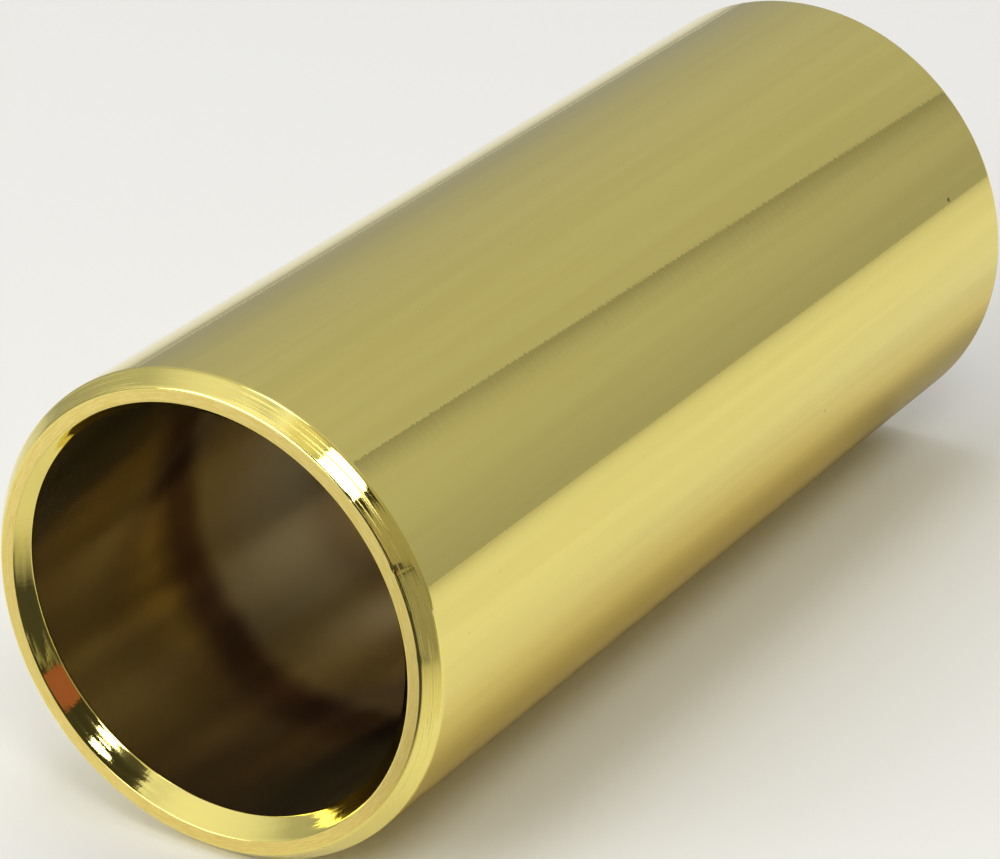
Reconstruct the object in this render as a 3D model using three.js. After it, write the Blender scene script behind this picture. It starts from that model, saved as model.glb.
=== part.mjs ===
// Guitar slide: one length of thick-walled brass tube, open at both ends, worn on a finger.
// Millimetres, +Z up. The tube lies on a surface with its axis along +Y, and the origin is
// on that surface, under the middle of the tube. Both ends are turned alike.

import * as THREE from 'three';

// Driving dimensions
const TUBE_LENGTH = 60.6;            // over the two end faces
const OUTER_DIAMETER = 25;           // drawn tube, 25 x 2
const WALL = 2;
const LAND_WIDTH = 0.69;             // flat ring left on each end face
const OUTER_CHAMFER_DEPTH = 0.68;    // how far in from the outside
const OUTER_CHAMFER_LENGTH = 0.9;    // how far along from the end face
const COUNTERSINK_ANGLE = 80;        // included angle, degrees

// Edge roundings left by the polishing wheel
const BORE_EDGE_ROUND = 0.3;
const LAND_INNER_ROUND = 0.08;
const CREST_ROUND = 0.2;
const SHOULDER_ROUND = 0.4;

// Faceting
const SIDES = 72;                    // flats around the tube, one of them facing straight down
const ROUND_STEPS = 2;               // straight steps along each rounded edge

const outerRadius = OUTER_DIAMETER / 2;
const boreRadius = outerRadius - WALL;
const crestRadius = outerRadius - OUTER_CHAMFER_DEPTH;
const landInnerRadius = crestRadius - LAND_WIDTH;
const countersinkSlope = Math.tan(THREE.MathUtils.degToRad(COUNTERSINK_ANGLE / 2));
const countersinkDepth = (landInnerRadius - boreRadius) / countersinkSlope;

// The points of an arc that rounds one corner of an outline, tangent to both of its sides.
function roundCorner(before, corner, after, radius) {
  const toBefore = before.clone().sub(corner).normalize();
  const toAfter = after.clone().sub(corner).normalize();
  const halfAngle = Math.acos(toBefore.dot(toAfter)) / 2;
  const bisector = toBefore.clone().add(toAfter).normalize();
  const centre = corner.clone().addScaledVector(bisector, radius / Math.sin(halfAngle));
  const tangentLength = radius / Math.tan(halfAngle);
  const from = corner.clone().addScaledVector(toBefore, tangentLength).sub(centre).angle();
  const to = corner.clone().addScaledVector(toAfter, tangentLength).sub(centre).angle();
  const turn = THREE.MathUtils.euclideanModulo(to - from + Math.PI, 2 * Math.PI) - Math.PI;
  return Array.from({ length: ROUND_STEPS + 1 }, (_, i) => {
    const angle = from + (turn * i) / ROUND_STEPS;
    return new THREE.Vector2(Math.cos(angle), Math.sin(angle)).multiplyScalar(radius).add(centre);
  });
}

// One end's edges from the outside in to the bore, as (distance from the axis, distance along it).
function endOutline() {
  const face = TUBE_LENGTH / 2;
  const corners = [
    { at: new THREE.Vector2(outerRadius, face - OUTER_CHAMFER_LENGTH), round: SHOULDER_ROUND },
    { at: new THREE.Vector2(crestRadius, face), round: CREST_ROUND },
    { at: new THREE.Vector2(landInnerRadius, face), round: LAND_INNER_ROUND },
    { at: new THREE.Vector2(boreRadius, face - countersinkDepth), round: BORE_EDGE_ROUND },
  ];
  const middleOfOutside = new THREE.Vector2(outerRadius, 0);
  const middleOfBore = new THREE.Vector2(boreRadius, 0);
  const path = [middleOfOutside, ...corners.map((corner) => corner.at), middleOfBore];
  return corners.flatMap((corner, i) => roundCorner(path[i], corner.at, path[i + 2], corner.round));
}

// The wall's closed outline: up the outside to the top end, and back down the bore.
function wallOutline() {
  const topEnd = endOutline();
  const bottomEnd = topEnd.map((point) => new THREE.Vector2(point.x, -point.y)).reverse();
  const loop = [...bottomEnd, ...topEnd, bottomEnd[0]];
  // The flats, not the corners between them, lie on the true circles.
  const acrossCorners = 1 / Math.cos(Math.PI / SIDES);
  return loop.map((point) => new THREE.Vector2(point.x * acrossCorners, point.y));
}

function makeSlideTube() {
  const halfFlat = Math.PI / SIDES;
  const geometry = new THREE.LatheGeometry(wallOutline(), SIDES, halfFlat);
  const brass = new THREE.MeshStandardMaterial({ color: 0xd6b35a, roughness: 0.12, metalness: 1 });
  const tube = new THREE.Mesh(geometry, brass);
  tube.name = 'slide_tube';
  tube.position.z = outerRadius;
  return tube;
}

const guitarSlide = new THREE.Group();
guitarSlide.add(makeSlideTube());

export default guitarSlide;
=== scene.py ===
# %% [markdown]
# # A brass guitar slide
#
# A finger slide is one length of thick-walled brass tube. A player wears it on a finger and
# glides it along the strings, so its outside is buffed to a mirror. The ends are turned on a
# lathe, and the bore is left as it was drawn. The script loads the measured part, builds a
# smooth tube in its place, gives each surface its own finish, and lights it in a soft tent.

# %% The measured part
import math

import bmesh
import bpy
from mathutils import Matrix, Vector


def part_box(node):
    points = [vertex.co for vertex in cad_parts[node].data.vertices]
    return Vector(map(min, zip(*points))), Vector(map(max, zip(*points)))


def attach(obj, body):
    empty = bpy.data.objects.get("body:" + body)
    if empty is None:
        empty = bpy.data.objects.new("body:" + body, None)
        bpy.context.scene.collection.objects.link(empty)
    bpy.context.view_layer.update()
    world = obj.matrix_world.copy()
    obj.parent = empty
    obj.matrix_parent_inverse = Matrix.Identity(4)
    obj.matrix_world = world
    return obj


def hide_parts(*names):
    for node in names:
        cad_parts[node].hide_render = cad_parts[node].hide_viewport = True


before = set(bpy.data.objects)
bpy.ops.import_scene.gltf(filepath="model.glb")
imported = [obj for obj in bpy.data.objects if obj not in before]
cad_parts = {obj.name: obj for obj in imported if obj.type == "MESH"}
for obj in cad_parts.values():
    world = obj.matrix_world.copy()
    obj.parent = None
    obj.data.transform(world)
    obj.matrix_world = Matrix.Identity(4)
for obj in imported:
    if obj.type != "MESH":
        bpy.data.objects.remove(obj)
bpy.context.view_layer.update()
tube_low, tube_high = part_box("slide_tube")
print("the tube spans", [round(1000 * size, 2) for size in tube_high - tube_low], "mm")

# %% [markdown]
# ## Driving sizes
#
# The outside diameter and the length come from the measured part. The wall and the small
# turned edges are written here, in metres, as a machinist would note them on a drawing. The
# tube lies along Y, with its axis one outer radius above the floor.

# %% Sizes of the tube
mm = 0.001
outer_radius = (tube_high.x - tube_low.x) / 2
half_length = (tube_high.y - tube_low.y) / 2
axis_height = (tube_high.z + tube_low.z) / 2
wall = 2.0 * mm
bore_radius = outer_radius - wall
chamfer_depth = 0.68 * mm
chamfer_length = 0.90 * mm
land_width = 0.69 * mm
countersink_angle = 80
countersink_slope = math.tan(math.radians(countersink_angle / 2))

crest_radius = outer_radius - chamfer_depth
land_inner_radius = crest_radius - land_width
countersink_depth = (land_inner_radius - bore_radius) / countersink_slope
print("bore", round(2000 * bore_radius, 2), "mm across")
print("countersink", round(1000 * countersink_depth, 2), "mm deep")

# %% [markdown]
# ## The tube's shape
#
# The wall's outline is drawn once, as a closed loop of straight sides, and spun round the axis,
# as a lathe would cut it. A primitive cylinder with a Solidify modifier would need every edge
# cut into it afterwards. Each side has a holding point just inside either corner, which keeps
# the flats flat when the corners are rounded. The two long sides are cut into strips, so that
# no face is a sliver as long as the tube.

# %% Spin the wall's outline
STEPS_AROUND = 384
STRIPS_ALONG = 24
HOLD = 0.14 * mm


def wall_corners():
    ends = []
    for end in (-1, 1):
        corners = [
            (outer_radius, half_length - chamfer_length),
            (crest_radius, half_length),
            (land_inner_radius, half_length),
            (bore_radius, half_length - countersink_depth),
        ]
        ends.append([Vector((radius, end * along, axis_height)) for radius, along in corners])
    return ends[0] + ends[1][::-1]


def wall_outline():
    corners = wall_corners()
    points = []
    for corner, following in zip(corners, corners[1:] + corners[:1]):
        hold = (following - corner).normalized() * HOLD
        points += [corner, corner + hold, following - hold]
    return points


def spin_wall():
    bm = bmesh.new()
    verts = [bm.verts.new(point) for point in wall_outline()]
    sides = [bm.edges.new((verts[i], verts[i - 1])) for i in range(len(verts))]
    long_sides = [side for side in sides if side.calc_length() > half_length]
    bmesh.ops.subdivide_edges(bm, edges=long_sides, cuts=STRIPS_ALONG - 1)
    bmesh.ops.spin(bm, geom=bm.verts[:] + bm.edges[:], cent=(0, 0, axis_height), axis=(0, 1, 0),
                   angle=math.tau, steps=STEPS_AROUND, use_merge=True)
    bmesh.ops.recalc_face_normals(bm, faces=bm.faces[:])
    return bm


tube = spin_wall()
print("spun wall:", len(tube.faces), "faces")

# %% [markdown]
# ## Rounded corners
#
# No polished edge is sharp, and the narrow rounds catch the brightest lines of light. Each ring
# of corners is bevelled with its own small reach: the wheel wears the outer corners most, and
# hardly touches the inside of the end face. One Bevel modifier would give them all one width.

# %% Round each ring of corners
RING_TOLERANCE = 0.01 * mm
# Each ring's distance from the axis, distance along it, bevel reach and segments
ROUNDS = {
    "shoulder": (outer_radius, half_length - chamfer_length, 0.10 * mm, 6),
    "crest": (crest_radius, half_length, 0.085 * mm, 6),
    "land_inner": (land_inner_radius, half_length, 0.03 * mm, 3),
    "bore_edge": (bore_radius, half_length - countersink_depth, 0.075 * mm, 5),
}


def distance_from_axis(point):
    return math.hypot(point.x, point.z - axis_height)


def ring_edges(bm, radius, along):
    def on_ring(vert):
        return (abs(distance_from_axis(vert.co) - radius) < RING_TOLERANCE
                and abs(abs(vert.co.y) - along) < RING_TOLERANCE)
    return [edge for edge in bm.edges if all(on_ring(vert) for vert in edge.verts)]


for name, (radius, along, reach, segments) in ROUNDS.items():
    edges = ring_edges(tube, radius, along)
    bmesh.ops.bevel(tube, geom=edges, offset=reach, segments=segments, profile=0.5,
                    affect="EDGES", material=-1)
    print(name, "round:", len(edges), "edges")

# %% [markdown]
# ## A bore that isn't quite central
#
# Drawn tube is never perfectly even. The bore lies a quarter of a millimetre off the axis, and
# the countersink is cut true to the outside, so its cone is wider on one side. Bore points move
# sideways, and those near an end also slide along the tube, to stay on the cone.

# %% Move the bore off centre
bore_offset = Vector((0, 0, 0.26)) * mm
near_end = half_length - countersink_depth - 2 * HOLD
bore_verts = [vert for vert in tube.verts if distance_from_axis(vert.co) < bore_radius + HOLD]
for vert in bore_verts:
    before = distance_from_axis(vert.co)
    vert.co += bore_offset
    if abs(vert.co.y) > near_end:
        end = 1 if vert.co.y > 0 else -1
        vert.co.y += end * (distance_from_axis(vert.co) - before) / countersink_slope
print("bore moved", round(1000 * bore_offset.length, 2), "mm off the axis")

# %% [markdown]
# ## Small knocks on the rim
#
# A slide gets dropped, and the crest of the rim shows it as tiny dents. A dent could be painted
# as a bump, but this one is on the outline and breaks the bright line along the edge, so the
# mesh itself is pushed in. The push fades with the square of the distance from the blow.

# %% Knock the rim
# End of the tube, angle round it in degrees from +X towards +Z, and depth in millimetres
NICKS = [(-1, 47, 0.04), (-1, 28, 0.07), (-1, 7, 0.06), (-1, -113, 0.05), (-1, -120, 0.06),
         (-1, -139, 0.07), (1, 64, 0.05), (1, 131, 0.06), (1, -95, 0.05)]
NICK_REACH = 0.22 * mm
PUSH_INWARD = 0.8
PUSH_ALONG = 0.6


def knock_rim(bm, end, angle, depth):
    turn = math.radians(angle)
    outward = Vector((math.cos(turn), 0, math.sin(turn)))
    struck = outward * crest_radius + Vector((0, end * half_length, axis_height))
    push = outward * -PUSH_INWARD + Vector((0, -PUSH_ALONG * end, 0))
    for vert in bm.verts:
        away = (vert.co - struck).length / NICK_REACH
        if away < 1:
            vert.co += push * depth * mm * (1 - away) ** 2


for end, angle, depth in NICKS:
    knock_rim(tube, end, angle, depth)
print("knocked the rim in", len(NICKS), "places")

# %% [markdown]
# ## Six finishes on one piece
#
# The outside is buffed, the chamfer, end face and countersink are turned, and the bore is as
# drawn. The faces between them are the worn edges, where the metal is smoothest. One mesh with
# six material slots keeps the tube a single piece. A face's finish is told by how far it turns
# from the axis: 1 faces straight out, 0 faces along the tube, and -1 straight in.

# %% Sort the faces by finish
FACING_TOLERANCE = 0.03
FACING = {
    "buffed_wall": 1.0,
    "turned_chamfer": chamfer_length / math.hypot(chamfer_length, chamfer_depth),
    "end_land": 0.0,
    "countersink": -math.cos(math.atan(countersink_slope)),
    "drawn_bore": -1.0,
}
FINISHES = [*FACING, "worn_edge"]


def finish_of(face):
    centre = face.calc_center_median()
    outward = Vector((centre.x, 0, centre.z - axis_height)).normalized()
    facing = face.normal.dot(outward)
    for name, expected in FACING.items():
        if abs(facing - expected) < FACING_TOLERANCE:
            return name
    return "worn_edge"


tube.normal_update()
for face in tube.faces:
    face.material_index = FINISHES.index(finish_of(face))
    face.smooth = True
for index, name in enumerate(FINISHES):
    print(name, sum(face.material_index == index for face in tube.faces), "faces")

# %% Make the tube an object
mesh = bpy.data.meshes.new("brass_tube")
tube.to_mesh(mesh)
tube.free()
brass_tube = bpy.data.objects.new("brass_tube", mesh)
bpy.context.collection.objects.link(brass_tube)
print("brass_tube:", len(mesh.vertices), "points,", len(mesh.polygons), "faces")

# %% [markdown]
# ## Shader maths as plain expressions
#
# A small class wraps a node's output, so that a pattern reads like arithmetic: every operator
# adds one Math node. Colours are blended with a Mix node, because a Math node turns them grey.

# %% A value in a node tree
class Value:
    """A node's output. Its operators add Math nodes."""

    def __init__(self, shop, socket):
        self.shop = shop
        self.socket = socket

    def math(self, operation, *others):
        return self.shop.node("ShaderNodeMath", {"operation": operation}, (self, *others))

    def __add__(self, other):
        return self.math("ADD", other)

    def __sub__(self, other):
        return self.math("SUBTRACT", other)

    def __rsub__(self, other):
        return self.shop.node("ShaderNodeMath", {"operation": "SUBTRACT"}, (other, self))

    def __mul__(self, other):
        return self.math("MULTIPLY", other)

    def __truediv__(self, other):
        return self.math("DIVIDE", other)

    def __pow__(self, other):
        return self.math("POWER", other)

    __radd__ = __add__
    __rmul__ = __mul__

    def part(self, index):
        """Another output of the same node, such as one axis of Separate XYZ."""
        return Value(self.shop, self.socket.node.outputs[index])


class NodeShop:
    """Makes the nodes of one material or world tree."""

    def __init__(self, tree):
        self.tree = tree
        tree.nodes.clear()

    def node(self, kind, settings=None, sockets=(), output=0):
        made = self.tree.nodes.new(kind)
        for name, value in (settings or {}).items():
            setattr(made, name, value)
        pairs = sockets.items() if isinstance(sockets, dict) else enumerate(sockets)
        for key, value in pairs:
            if isinstance(value, Value):
                self.tree.links.new(value.socket, made.inputs[key])
            else:
                made.inputs[key].default_value = value
        return Value(self, made.outputs[output]) if made.outputs else made

    def mix(self, factor, first, second):
        # A Mix node has sockets for each kind of data. Colours are inputs 6 and 7, and output 2.
        sockets = {0: factor, 6: first, 7: second}
        return self.node("ShaderNodeMix", {"data_type": "RGBA"}, sockets, output=2)

    def smooth(self, value, low, high):
        """0 at low, 1 at high, with an easy start and stop between them."""
        settings = {"interpolation_type": "SMOOTHSTEP"}
        return self.node("ShaderNodeMapRange", settings, (value, low, high))

    def noise(self, vector, scale, detail, roughness):
        sockets = {"Vector": vector, "Scale": scale, "Detail": detail, "Roughness": roughness}
        return self.node("ShaderNodeTexNoise", None, sockets)


# %% [markdown]
# ## Marks that follow the tool
#
# Turning marks run round the axis, and drawing marks run along it. So every finish first finds
# a point's direction round the axis, its distance along it, and its distance from it. A noise
# stretched over those gives marks of any length, in features per radian and per metre. Object
# coordinates are used, because they stay on the tube when it is moved, and need no seam.

# %% Coordinates round the axis
def tube_coordinates(shop):
    place = shop.node("ShaderNodeTexCoord", output="Object")
    split = shop.node("ShaderNodeSeparateXYZ", None, (place,))
    across = split.part(0)
    along = split.part(1)
    up = split.part(2) - axis_height
    radius = (across * across + up * up) ** 0.5
    return place, across / radius, up / radius, along, radius


class Surface:
    """A finish's node tree, with the coordinates that its marks follow."""

    def __init__(self, material):
        material.use_nodes = True
        self.shop = NodeShop(material.node_tree)
        self.place, self.east, self.top, self.along, self.radius = tube_coordinates(self.shop)

    def marks(self, position, per_radian, per_metre, detail=2.0, roughness=0.5):
        """Noise with its own density round the axis and with position, along or out from it."""
        scaled = (self.east * per_radian, position * per_metre, self.top * per_radian)
        vector = self.shop.node("ShaderNodeCombineXYZ", None, scaled)
        return self.shop.noise(vector, 1.0, detail, roughness)

    def specks(self, per_metre, size):
        """1 in one small spot per cell, with per_metre cells to the metre, each size cells wide."""
        sockets = {"Vector": self.place, "Scale": per_metre}
        distance = self.shop.node("ShaderNodeTexVoronoi", None, sockets)
        return 1 - self.shop.smooth(distance, 0.5 * size, size)

    def between(self, low, high, pattern, start=0.35, stop=0.65):
        """From low to high as the pattern goes from start to stop."""
        return low + (high - low) * self.shop.smooth(pattern, start, stop)


# %% [markdown]
# ## Brass
#
# Polished brass is one metal in six finishes here. Each finish is a function that gives its
# colour, how metallic it is, its roughness, and its marks as pairs of a pattern and a height.
# The same few lines then build the shader, with one Bump node after another for the marks.

# %% Brass from a finish
micron = 0.001 * mm
BRASS = (0.90, 0.775, 0.235, 1)
SMOKED_BRASS = (0.82, 0.69, 0.20, 1)
PIT = (0.30, 0.20, 0.08, 1)
BARE_METAL = 1.0


def brass_material(name, describe):
    material = bpy.data.materials.new(name)
    surface = Surface(material)
    colour, metallic, roughness, heights = describe(surface)
    sockets = {"Base Color": colour, "Metallic": metallic, "Roughness": roughness}
    for pattern, height in heights:
        bump = {"Height": pattern, "Distance": height, "Strength": 1.0}
        if "Normal" in sockets:
            bump["Normal"] = sockets["Normal"]
        sockets["Normal"] = surface.shop.node("ShaderNodeBump", None, bump)
    shader = surface.shop.node("ShaderNodeBsdfPrincipled", None, sockets)
    surface.shop.node("ShaderNodeOutputMaterial", None, {"Surface": shader})
    return material


# %% [markdown]
# ## The buffed wall
#
# The outside is a mirror, but it isn't a perfect one. Long soft waves are left from drawing
# the tube, and faint rings from turning it, and they make the edges of reflections tremble.
# Handling leaves smoky smears and a thin haze, and there are a few small pits. Waves and
# rings are only a few microns high: bump is enough, and real displacement would be wasted.

# %% Finish of the buffed wall
def buffed_wall(surface):
    smears = surface.marks(surface.along, per_radian=14, per_metre=25, detail=4.0)
    haze = surface.marks(surface.along, per_radian=9, per_metre=90, detail=3.0)
    rings = surface.marks(surface.along, per_radian=1.5, per_metre=3200)
    waves = surface.marks(surface.along, per_radian=8, per_metre=30)
    pits = surface.specks(per_metre=220, size=0.04)
    faint_pits = surface.specks(per_metre=700, size=0.05) * 0.3
    colour = surface.shop.mix(surface.between(0.0, 0.5, smears), BRASS, SMOKED_BRASS)
    colour = surface.shop.mix(pits, colour, PIT)
    colour = surface.shop.mix(faint_pits, colour, PIT)
    roughness = surface.between(0.012, 0.045, haze)
    return colour, BARE_METAL, roughness, [(waves, 4.0 * micron), (rings, 1.8 * micron)]


# %% [markdown]
# ## The turned ends
#
# The chamfer, the end face and the countersink are cut one after another, each by its own
# tool. The chamfer has fine rings, some bright and some satin. The end face is satin and a
# little redder, with the closest rings. The countersink is bright, with coarse rings and the
# chatter of its cutter. On the first two the rings follow the distance from the axis, and in
# the countersink they follow the distance along it. Modelled grooves would need a far finer
# mesh than the reflections can show.

# %% Finish of the chamfer
def turned_chamfer(surface):
    satin = surface.marks(surface.radius, per_radian=2, per_metre=14000, detail=3.0)
    rings = surface.marks(surface.radius, per_radian=2.5, per_metre=4500, detail=3.0, roughness=0.6)
    fine_rings = surface.marks(surface.radius, per_radian=2, per_metre=15000)
    roughness = surface.between(0.05, 0.42, satin, start=0.50, stop=0.62)
    return BRASS, BARE_METAL, roughness, [(rings, 5.0 * micron), (fine_rings, 1.5 * micron)]


# %% Finish of the end face
SATIN_GOLD = (0.95, 0.77, 0.27, 1)
SMOKED_GOLD = (0.86, 0.67, 0.19, 1)


def end_land(surface):
    satin = surface.marks(surface.radius, per_radian=14, per_metre=14000, detail=3.0, roughness=0.6)
    rings = surface.marks(surface.radius, per_radian=10, per_metre=12000, detail=3.0, roughness=0.6)
    colour = surface.shop.mix(surface.between(0.0, 1.0, satin), SATIN_GOLD, SMOKED_GOLD)
    roughness = surface.between(0.30, 0.42, satin)
    return colour, BARE_METAL, roughness, [(rings, 3.0 * micron)]


# %% Finish of the countersink
def countersink(surface):
    rings = surface.marks(surface.along, per_radian=3, per_metre=3400, detail=1.5)
    chatter = surface.marks(surface.along, per_radian=40, per_metre=2500, detail=3.0, roughness=0.6)
    roughness = surface.between(0.03, 0.09, rings)
    return BRASS, BARE_METAL, roughness, [(rings, 8.0 * micron), (chatter, 2.5 * micron)]


# %% [markdown]
# ## The drawn bore
#
# The bore is golden in the mouth, then has a brown ring, and is dull greyish metal further in.
# Its lower side is darkened with painted shade, in the brown of the ring. The zones follow the
# depth from either end, so that both ends are alike, and the depth wanders a little round the
# tube, so that the ring isn't a perfect circle. Lengthwise scores are left from drawing, and dust
# lies in small specks. A thin film of grime makes the bore slightly less metallic than the outside.

# %% Finish of the drawn bore
TARNISH = (0.52, 0.40, 0.145, 1)
DRAWN_BRASS = (0.66, 0.505, 0.20, 1)
# The ring's brown, also used as painted shade on the bore's lower side.
RING_AND_SHADE_BROWN = (0.16, 0.10, 0.08, 1)
DULL_METAL = (0.46, 0.40, 0.27, 1)
DUST = (0.72, 0.60, 0.40, 1)
BROWN_FROM = 9.5 * mm
BROWN_TO = 12.5 * mm
DULL_FROM = 13.2 * mm
DULL_TO = 15.2 * mm
GRIMY_METAL = 0.93


def drawn_bore(surface):
    streaks = surface.marks(surface.along, per_radian=5, per_metre=8, detail=3.0)
    scores = surface.marks(surface.along, per_radian=60, per_metre=10, detail=3.0, roughness=0.6)
    wander = 1.6 * mm * surface.top + 1.2 * mm * (streaks - 0.5)
    depth = half_length - surface.along.math("ABSOLUTE") - wander
    brown = surface.shop.smooth(depth, BROWN_FROM, BROWN_TO)
    # Painted shade: the lower side of the bore is darkened towards the bottom.
    painted_underside_shade = surface.shop.smooth(surface.top, -0.75, -0.98)
    dull = surface.shop.smooth(depth, DULL_FROM, DULL_TO)
    dust = surface.specks(per_metre=300, size=0.025)
    colour = surface.shop.mix(surface.shop.smooth(streaks, 0.35, 0.65), TARNISH, DRAWN_BRASS)
    colour = surface.shop.mix(0.6 * painted_underside_shade, colour, RING_AND_SHADE_BROWN)
    colour = surface.shop.mix(brown, colour, RING_AND_SHADE_BROWN)
    colour = surface.shop.mix(dull, colour, DULL_METAL)
    colour = surface.shop.mix(dust, colour, DUST)
    roughness = 0.09 + 0.07 * dull
    return colour, GRIMY_METAL, roughness, [(scores, 2.0 * micron)]


# %% [markdown]
# ## The worn edges
#
# The narrow rounds are rubbed by every hand and cloth, so they are the smoothest part of the
# ends. They are plain bright brass, and only a fine unevenness keeps their lines from looking
# drawn with a ruler.

# %% Finish of the worn edges
def worn_edge(surface):
    wear = surface.marks(surface.along, per_radian=30, per_metre=2000, detail=3.0, roughness=0.6)
    return BRASS, BARE_METAL, 0.06, [(wear, 3.0 * micron)]


# %% Give the faces their finishes
DESCRIPTIONS = [buffed_wall, turned_chamfer, end_land, countersink, drawn_bore, worn_edge]
for describe in DESCRIPTIONS:
    mesh.materials.append(brass_material(describe.__name__, describe))
print("finishes:", [material.name for material in mesh.materials])

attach(brass_tube, "root")
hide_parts("slide_tube")

# %% [markdown]
# ## The studio
#
# A mirror shows only its surroundings, so most of the work of lighting polished metal is in
# what stands round it. The tube lies on a pale floor in a soft grey tent that is brighter
# overhead. A large soft light stands at the front left, a smaller one hangs overhead, and a
# small lamp stands at the front right. Cards stand and lie round the tube, to darken or tint
# what it mirrors.
#
# Directions are told as an azimuth, in degrees from +Y towards +X, and an elevation.

# %% Directions
def towards(azimuth, elevation):
    turn = math.radians(azimuth)
    rise = math.radians(elevation)
    level = math.cos(rise)
    return Vector((math.sin(turn) * level, math.cos(turn) * level, math.sin(rise)))


tube_centre = Vector((0, 0, axis_height))
print("tube centre at", [round(axis, 4) for axis in tube_centre])

# %% The floor
FLOOR_SIZE = 3.0
FLOOR_GAP = 0.02 * mm


def add_stage(name, width, height, paint):
    bm = bmesh.new()
    bmesh.ops.create_grid(bm, x_segments=1, y_segments=1, size=0.5)
    bmesh.ops.scale(bm, verts=bm.verts, vec=(width, height, 1))
    stage_mesh = bpy.data.meshes.new(name)
    bm.to_mesh(stage_mesh)
    bm.free()
    material = bpy.data.materials.new(name)
    material.use_nodes = True
    shop = NodeShop(material.node_tree)
    shop.node("ShaderNodeOutputMaterial", None, {"Surface": paint(shop)})
    stage_mesh.materials.append(material)
    stage = bpy.data.objects.new(name, stage_mesh)
    bpy.context.collection.objects.link(stage)
    print(name, round(width, 3), "by", round(height, 3), "m")
    return stage


def paper(shop):
    sockets = {"Base Color": (0.9, 0.9, 0.9, 1), "Roughness": 1.0, "Specular IOR Level": 0.0}
    return shop.node("ShaderNodeBsdfPrincipled", None, sockets)


floor = add_stage("floor", FLOOR_SIZE, FLOOR_SIZE, paper)
floor.location.z = tube_low.z - FLOOR_GAP

# %% [markdown]
# ## Standing cards
#
# Dark cards give bright metal its contrast, as in any studio that lights glass and metal. A
# large dark card stands behind the camera, and darkens the bore and parts of the rim. A
# copper one at its right edge puts a warm patch in the countersink. A low one, dark on one
# side, closes the gap between them and the floor. A card could be a plain lit plane, but then
# it would show in the view and shade the floor, so only reflections see it. The large dark
# card is the exception: it also holds back a little diffuse light.

# %% Hang a card in a direction, facing the tube
DARK_GLOW = 0.06
CARD_TINT = (1.0, 0.95, 0.8, 1)


def even_card(*colour):
    sockets = {"Color": (*colour, 1), "Strength": 1.0}
    return lambda shop: shop.node("ShaderNodeEmission", None, sockets)


def add_card(name, width, height, paint, place):
    card = add_stage(name, width, height, paint)
    card.location = place
    card.visible_camera = False
    card.visible_diffuse = False
    card.visible_shadow = False
    return card


def hang_card(name, azimuth, elevation, distance, width, height, paint):
    facing = towards(azimuth, elevation)
    card = add_card(name, width, height, paint, tube_centre + facing * distance)
    card.rotation_euler = facing.to_track_quat("Z", "Y").to_euler()
    return card


def place_on_card(shop):
    place = shop.node("ShaderNodeTexCoord", output="Object")
    return shop.node("ShaderNodeSeparateXYZ", None, (place,))


def dark_to_one_side(shop):
    x = place_on_card(shop).part(0)
    strength = DARK_GLOW + 0.27 * shop.smooth(x, -20 * mm, -4 * mm)
    return shop.node("ShaderNodeEmission", None, {"Color": CARD_TINT, "Strength": strength})


dark_card = hang_card("dark_card", azimuth=149, elevation=22, distance=0.70,
                      width=0.53, height=1.02, paint=even_card(0.045, 0.04, 0.03))
dark_card.visible_diffuse = True
hang_card("copper_card", azimuth=129.5, elevation=21, distance=0.65,
          width=0.13, height=0.17, paint=even_card(0.33, 0.105, 0.07))
hang_card("low_card", azimuth=117, elevation=6, distance=0.30,
          width=0.14, height=0.09, paint=dark_to_one_side)

# %% [markdown]
# ## Lying cards
#
# The lower half of the tube mirrors the floor, so three cards lie on it. One in front is dark,
# and lighter towards the tube. One to the left is a soft shade that deepens outwards. A sheet
# on the right is painted shadow in amber: it darkens and warms the floor that the wall mirrors
# beside the tube, most of all past its far end. Painting the floor itself would show in the
# view, and cards don't. Their inner edges fade by a mix with a Transparent shader, because a
# hard edge would draw a line along the tube. Their sizes and places are told in outer radii of
# the tube.

# %% The front card's paint: dark, lighter near the tube, fading out at the left edge
RADIUS = outer_radius
FRONT_SIDE = 27 * RADIUS
FRONT_FADE = 1.2 * RADIUS
NEAR_GLOW = 0.75
ASIDE_GLOW = 0.25
THIN_PART = 0.25


def dark_from_edge(shop):
    split = place_on_card(shop)
    x = split.part(0)
    y = split.part(1)
    edge = FRONT_SIDE / 2
    near = shop.smooth(y, edge - FRONT_FADE, edge)
    aside = shop.smooth(y + 0.5 * x, 8.25 * RADIUS, 9.45 * RADIUS)
    strength = DARK_GLOW + NEAR_GLOW * near + ASIDE_GLOW * aside * (1 - near)
    thin = THIN_PART * shop.smooth(x, -edge, -edge + RADIUS)
    full = (1 - THIN_PART) * shop.smooth(x, -edge + 3.0 * RADIUS, -edge + 3.5 * RADIUS)
    clear = shop.node("ShaderNodeBsdfTransparent")
    dark = shop.node("ShaderNodeEmission", None, {"Color": CARD_TINT, "Strength": strength})
    return shop.node("ShaderNodeMixShader", None, (thin + full, clear, dark))


# %% The left card's paint: a grey that deepens away from the tube
LEFT_SIDE = 120 * RADIUS
LEFT_FADE = 26 * RADIUS


def shade_from_edge(shop):
    x = place_on_card(shop).part(0)
    edge = LEFT_SIDE / 2
    factor = 1 - shop.smooth(x, edge - LEFT_FADE, edge)
    clear = shop.node("ShaderNodeBsdfTransparent")
    grey = even_card(0.42, 0.42, 0.42)(shop)
    return shop.node("ShaderNodeMixShader", None, (factor, clear, grey))


# %% The amber sheet's paint: painted shadow in amber, deeper close to the tube and past its far end
# Painted shadow colours: amber beside the tube, and a deeper shade close to it and past its far end.
AMBER_SHADOW = (0.92, 0.80, 0.50, 1)
DEEP_SHADOW = (0.56, 0.50, 0.36, 1)
AMBER_WIDTH = 2 * RADIUS
AMBER_LENGTH = 6.8 * RADIUS


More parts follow.
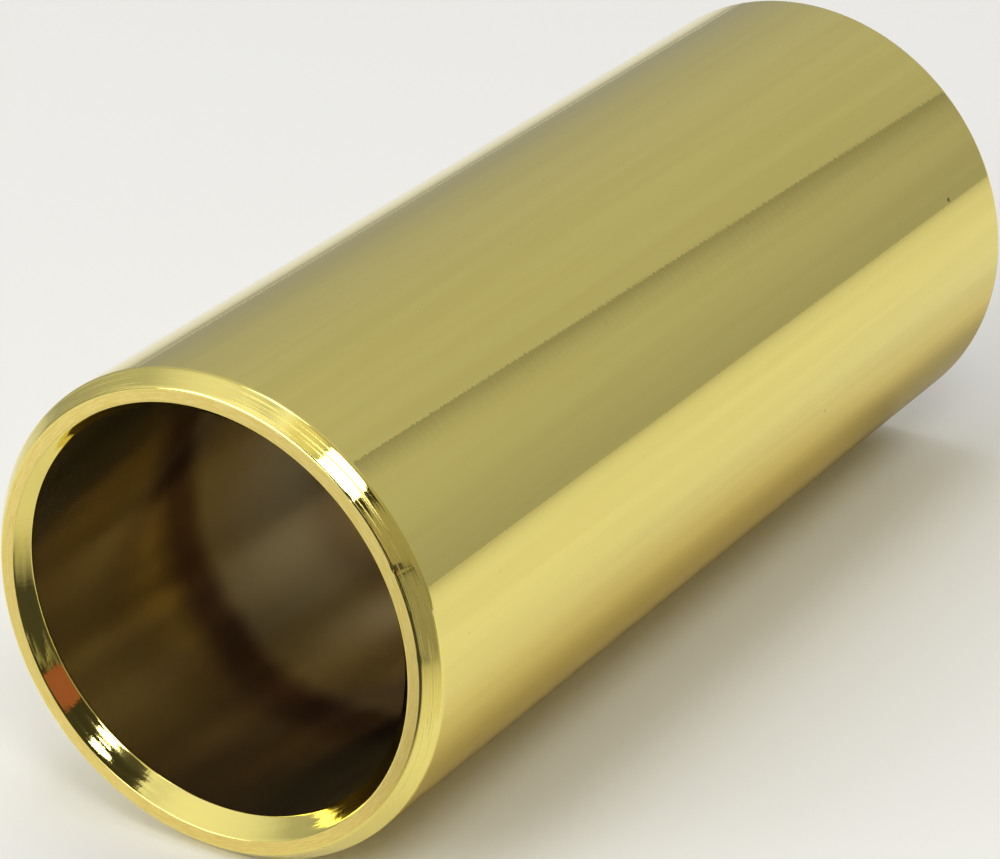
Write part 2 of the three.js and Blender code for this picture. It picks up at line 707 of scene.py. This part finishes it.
def painted_shadow_by_tube(shop):
    split = place_on_card(shop)
    x = split.part(0)
    y = split.part(1)
    # Painted shadow: the sheet darkens and warms the floor's reflection beside the tube.
    beside = 1 - shop.smooth(x, -0.6 * RADIUS, 0.7 * RADIUS)
    beyond = 0.3 + 0.7 * shop.smooth(y, 0.4 * RADIUS, 1.4 * RADIUS)
    beyond = beyond * (1 - shop.smooth(x, -0.5 * RADIUS, 0.0))
    clear = shop.node("ShaderNodeBsdfTransparent")
    amber_shadow = shop.node("ShaderNodeBsdfTransparent", None, {"Color": AMBER_SHADOW})
    deep_shadow = shop.node("ShaderNodeBsdfTransparent", None, {"Color": DEEP_SHADOW})
    sheet = shop.node("ShaderNodeMixShader", None, (beside, clear, amber_shadow))
    return shop.node("ShaderNodeMixShader", None, (beyond, sheet, deep_shadow))


# %% Lay the three cards on the floor
LYING = floor.location.z + 0.1 * mm
front_x = FRONT_SIDE / 2 - 3.0 * RADIUS
front_y = -FRONT_SIDE / 2 - 2.6 * RADIUS
left_x = -LEFT_SIDE / 2 - 3.0 * RADIUS
amber_x = 1.3 * RADIUS
amber_y = 1.2 * RADIUS

add_card("front_card", FRONT_SIDE, FRONT_SIDE, dark_from_edge, Vector((front_x, front_y, LYING)))
add_card("left_card", LEFT_SIDE, LEFT_SIDE, shade_from_edge, Vector((left_x, 0, LYING)))
# This sheet is painted shadow, seen only in reflections of the floor.
add_card("amber_shadow_sheet", AMBER_WIDTH, AMBER_LENGTH, painted_shadow_by_tube, Vector((amber_x, amber_y, LYING)))

# %% [markdown]
# ## The tent
#
# The world is the tent: a grey that brightens with height, one soft corner line where two
# walls meet, a dimmer and yellower right side, and two patches where more light comes through.
# It could be a modelled room, but a world shader needs no walls that would shade the floor.

# %% Directions in the world's shader
world = bpy.data.worlds.new("tent")
bpy.context.scene.world = world
world.use_nodes = True
shop = NodeShop(world.node_tree)
direction = shop.node("ShaderNodeTexCoord", output="Generated")
split = shop.node("ShaderNodeSeparateXYZ", None, (direction,))
east = split.part(0)
north = split.part(1)
height = split.part(2)
azimuth = shop.node("ShaderNodeMath", {"operation": "ARCTAN2"}, (east, north))


def glow(azimuth, elevation, outer, inner):
    """1 within inner degrees of a direction, 0 beyond outer degrees from it."""
    sockets = (direction, tuple(towards(azimuth, elevation)))
    facing = shop.node("ShaderNodeVectorMath", {"operation": "DOT_PRODUCT"}, sockets, output="Value")
    return shop.smooth(facing, math.cos(math.radians(outer)), math.cos(math.radians(inner)))


# %% The tent's walls, by height and by azimuth
FOOT_LEVEL = 0.365
SHOULDER_RISE = 0.135
CROWN_RISE = 0.16
PAST_CORNER_RISE = 0.035
CORNER_AZIMUTH = math.radians(21.4)
CORNER_SHADE = 0.5
RIGHT_SHADE = 0.28
PATCH_GLOW = 0.34
YELLOWER = (1.0, 0.93, 0.66, 1)
WHITE = (1, 1, 1, 1)

shoulder = SHOULDER_RISE * shop.smooth(height, 0.0, 0.6)
crown = CROWN_RISE * shop.smooth(height, 0.55, 0.95)
walls = FOOT_LEVEL + shoulder + crown
past_corner = shop.smooth(azimuth, CORNER_AZIMUTH, CORNER_AZIMUTH + 0.004)
shade = past_corner * (1 - shop.smooth(azimuth, CORNER_AZIMUTH - 0.06, CORNER_AZIMUTH + 0.14))
right_side = shop.smooth(azimuth, 0.75, 1.15) * (1 - shop.smooth(azimuth, 2.8, 3.1))
walls = walls + PAST_CORNER_RISE * shop.smooth(azimuth, 0.4, 0.6)
lit = walls * (1 - CORNER_SHADE * shade - RIGHT_SHADE * right_side)
lit = lit + PATCH_GLOW * glow(azimuth=-140, elevation=38, outer=38, inner=18)
lit = lit + PATCH_GLOW * glow(azimuth=163, elevation=67, outer=14, inner=5)
tint = shop.mix(right_side, WHITE, YELLOWER)
background = shop.node("ShaderNodeBackground", None, {"Color": tint, "Strength": lit})
shop.node("ShaderNodeOutputWorld", None, {"Surface": background})
print("tent:", len(world.node_tree.nodes), "nodes, corner at", round(math.degrees(CORNER_AZIMUTH), 1))

# %% [markdown]
# ## The lights
#
# Area lights are seen in the metal as well as lighting it, so each one's size is chosen for
# the shape of its reflection, and its radiance, not its power, for how bright that looks. A
# light's power is its radiance times pi times its area, so a light can be resized without
# changing how bright its reflection is. The small round lamp is reckoned by the square round
# it, which makes it brighter than its number by 4 / pi.

# %% Hang the lights
def soft_light(name, azimuth, elevation, distance, width, height, radiance, shape="RECTANGLE"):
    facing = towards(azimuth, elevation)
    light = bpy.data.lights.new(name, "AREA")
    light.shape = shape
    light.size = width
    light.size_y = height
    light.energy = radiance * math.pi * width * height
    lamp = bpy.data.objects.new(name, light)
    bpy.context.collection.objects.link(lamp)
    lamp.location = tube_centre + facing * distance
    lamp.rotation_euler = facing.to_track_quat("Z", "Y").to_euler()
    lamp.visible_camera = False
    print(name, round(light.energy, 2), "W")
    return lamp


soft_light("soft_front_left", azimuth=-160, elevation=26, distance=1.0,
           width=0.75, height=0.62, radiance=3.0)
soft_light("soft_top", azimuth=-60, elevation=86, distance=1.0,
           width=0.4, height=0.4, radiance=2.5)
soft_light("small_lamp", azimuth=139, elevation=48.5, distance=0.60,
           width=0.19, height=0.19, radiance=6.0, shape="ELLIPSE")

# %% [markdown]
# ## The camera
#
# The camera looks down on the near end from the right, through a long lens that keeps the
# tube's sides nearly parallel. It could be aimed at a target, but it is placed by how far the
# tube's centre lies to the right of, above and in front of it, in outer radii, so that the
# framing stays the same if the tube's size changes.

# %% Place the camera
LENS = 153.3
CAMERA_TURN = math.radians(31.163)
CAMERA_DROP = math.radians(25.081)
TUBE_TO_RIGHT = 0.1583 * outer_radius
TUBE_ABOVE = 0.1513 * outer_radius
TUBE_IN_FRONT = 17.708 * outer_radius

right = Vector((math.cos(CAMERA_TURN), math.sin(CAMERA_TURN), 0))
level = math.cos(CAMERA_DROP)
look = Vector((-math.sin(CAMERA_TURN) * level, math.cos(CAMERA_TURN) * level, -math.sin(CAMERA_DROP)))
up = right.cross(look)
camera_data = bpy.data.cameras.new("camera")
camera_data.lens = LENS
camera_data.clip_start = 0.01
camera = bpy.data.objects.new("camera", camera_data)
bpy.context.collection.objects.link(camera)
camera.location = tube_centre - right * TUBE_TO_RIGHT - up * TUBE_ABOVE - look * TUBE_IN_FRONT
camera.rotation_euler = look.to_track_quat("-Z", "Y").to_euler()
bpy.context.scene.camera = camera
bpy.context.scene.view_settings.view_transform = "Standard"
print("camera at", [round(axis, 4) for axis in camera.location])
